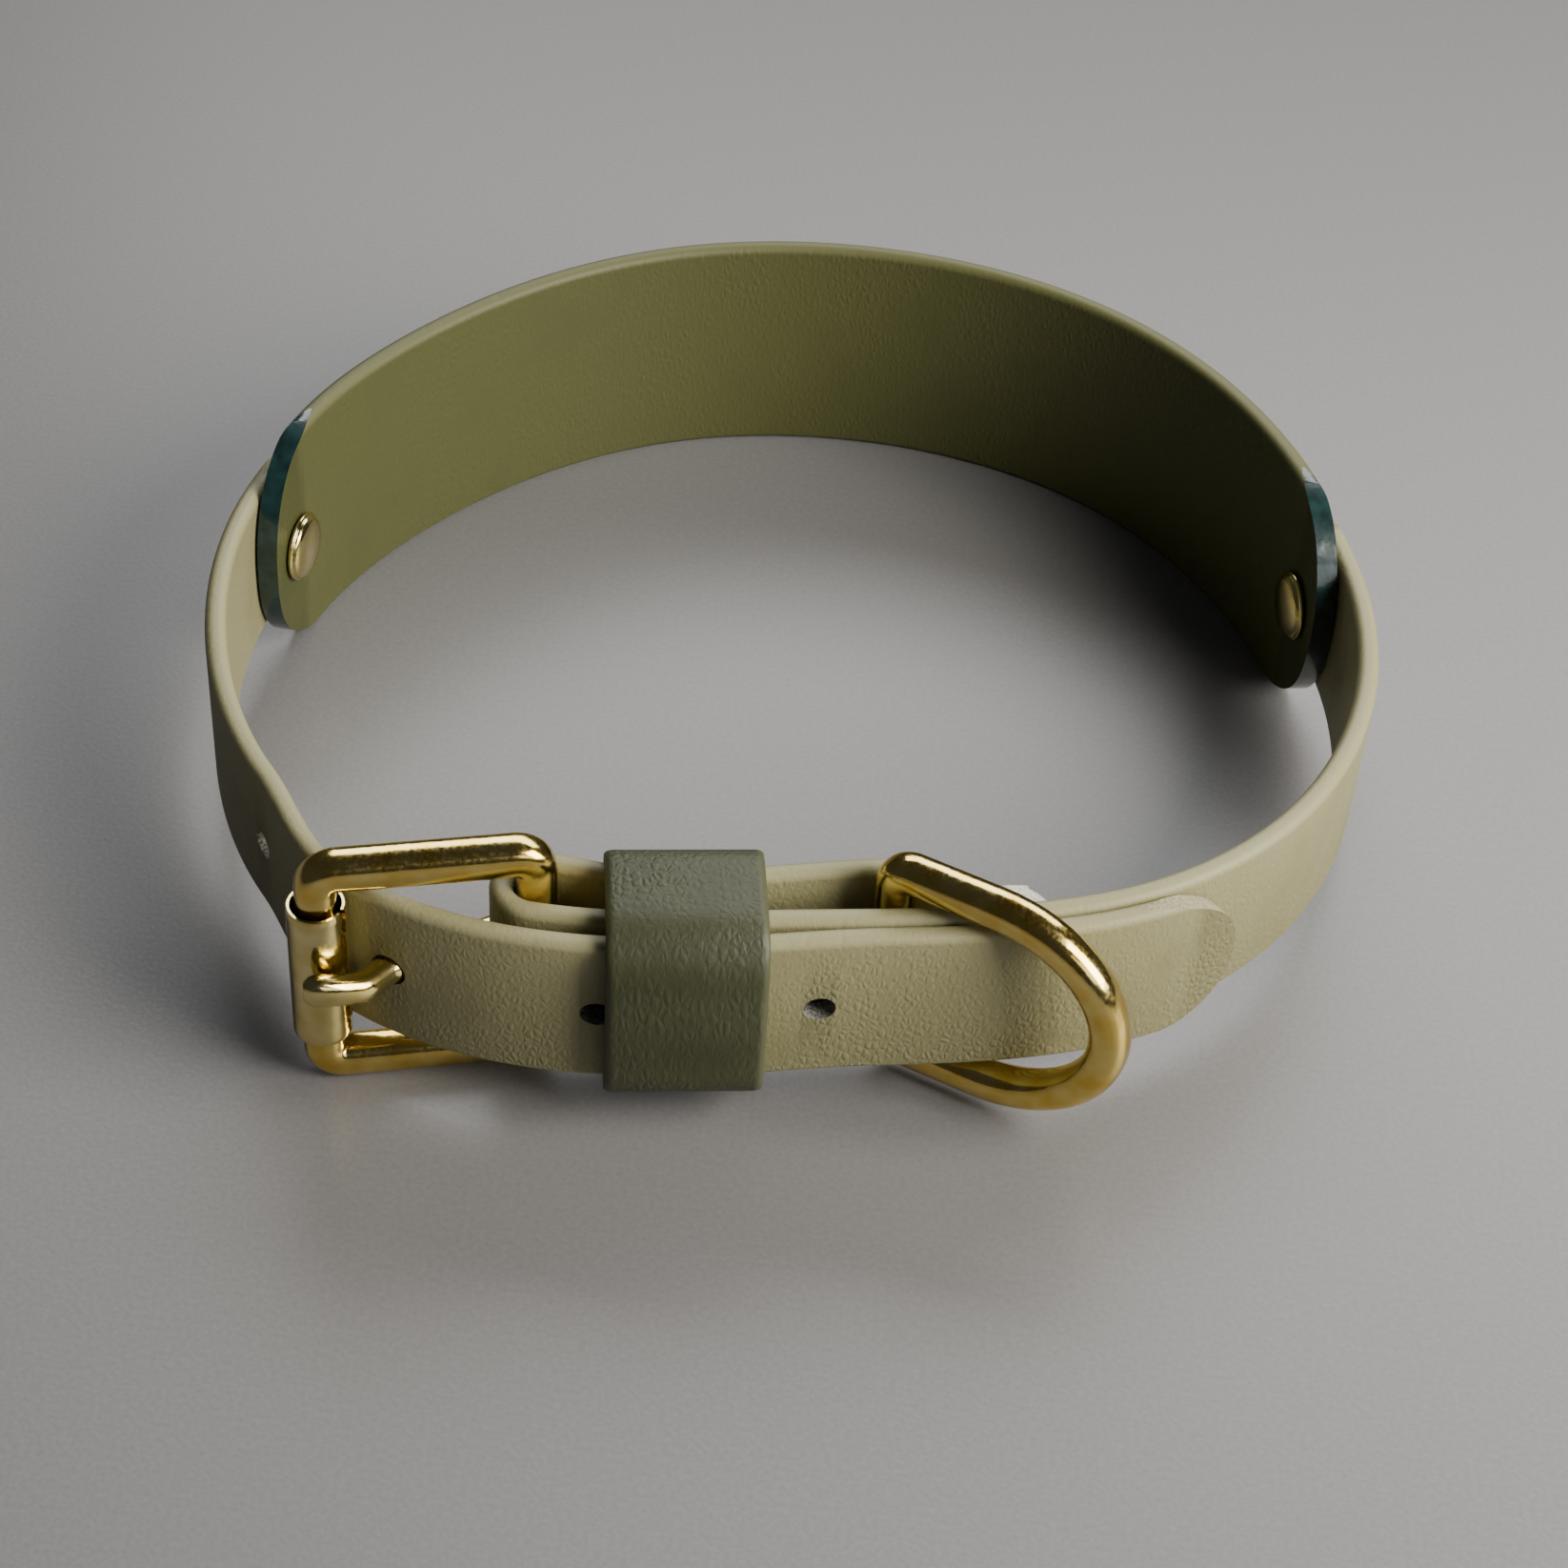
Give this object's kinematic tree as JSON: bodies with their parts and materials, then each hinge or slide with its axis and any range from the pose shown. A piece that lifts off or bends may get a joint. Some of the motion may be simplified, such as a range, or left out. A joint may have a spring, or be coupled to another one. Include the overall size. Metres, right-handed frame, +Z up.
{
  "type": "dog collar",
  "caption": "Small fastened dog collar: a wide back panel, narrow straps riveted to its ends, a roller buckle with a prong, a keeper loop and a D-ring for a lead.",
  "frame": {"origin": "middle of the whole collar's bounding box in plan, on the surface it stands on", "axes": "+Z up through the neck opening, +Y towards the back panel, -Y towards the buckle and the D-ring, +X towards the right rivet"},
  "size_m": [0.1124, 0.1082, 0.0259],
  "materials": {
    "olive_webbing": "satin",
    "khaki_webbing": "matt",
    "dark_olive_webbing": "satin",
    "gold_plating": "polished"
  },
  "bodies": {
    "collar": {"back_panel": "olive_webbing", "long_strap": "khaki_webbing", "buckle_strap": "khaki_webbing", "left_rivet": "gold_plating", "right_rivet": "gold_plating", "fold_rivet": "gold_plating", "buckle_frame": "gold_plating", "buckle_prong": "gold_plating", "keeper_loop": "dark_olive_webbing"},
    "dee": {"dee_ring": "gold_plating"},
    "roller": {"buckle_roller": "gold_plating"}
  },
  "joints": [
    {"name": "dee_swing", "type": "hinge", "parent": "collar", "child": "dee", "pos_m": [0.0103, -0.04196, 0.013], "axis": [0, 0, 1], "range_deg": [-85, 0]},
    {"name": "roller_turn", "type": "hinge", "parent": "collar", "child": "roller", "pos_m": [-0.03873, -0.04839, 0.013], "axis": [0, 0, 1], "continuous": true}
  ]
}
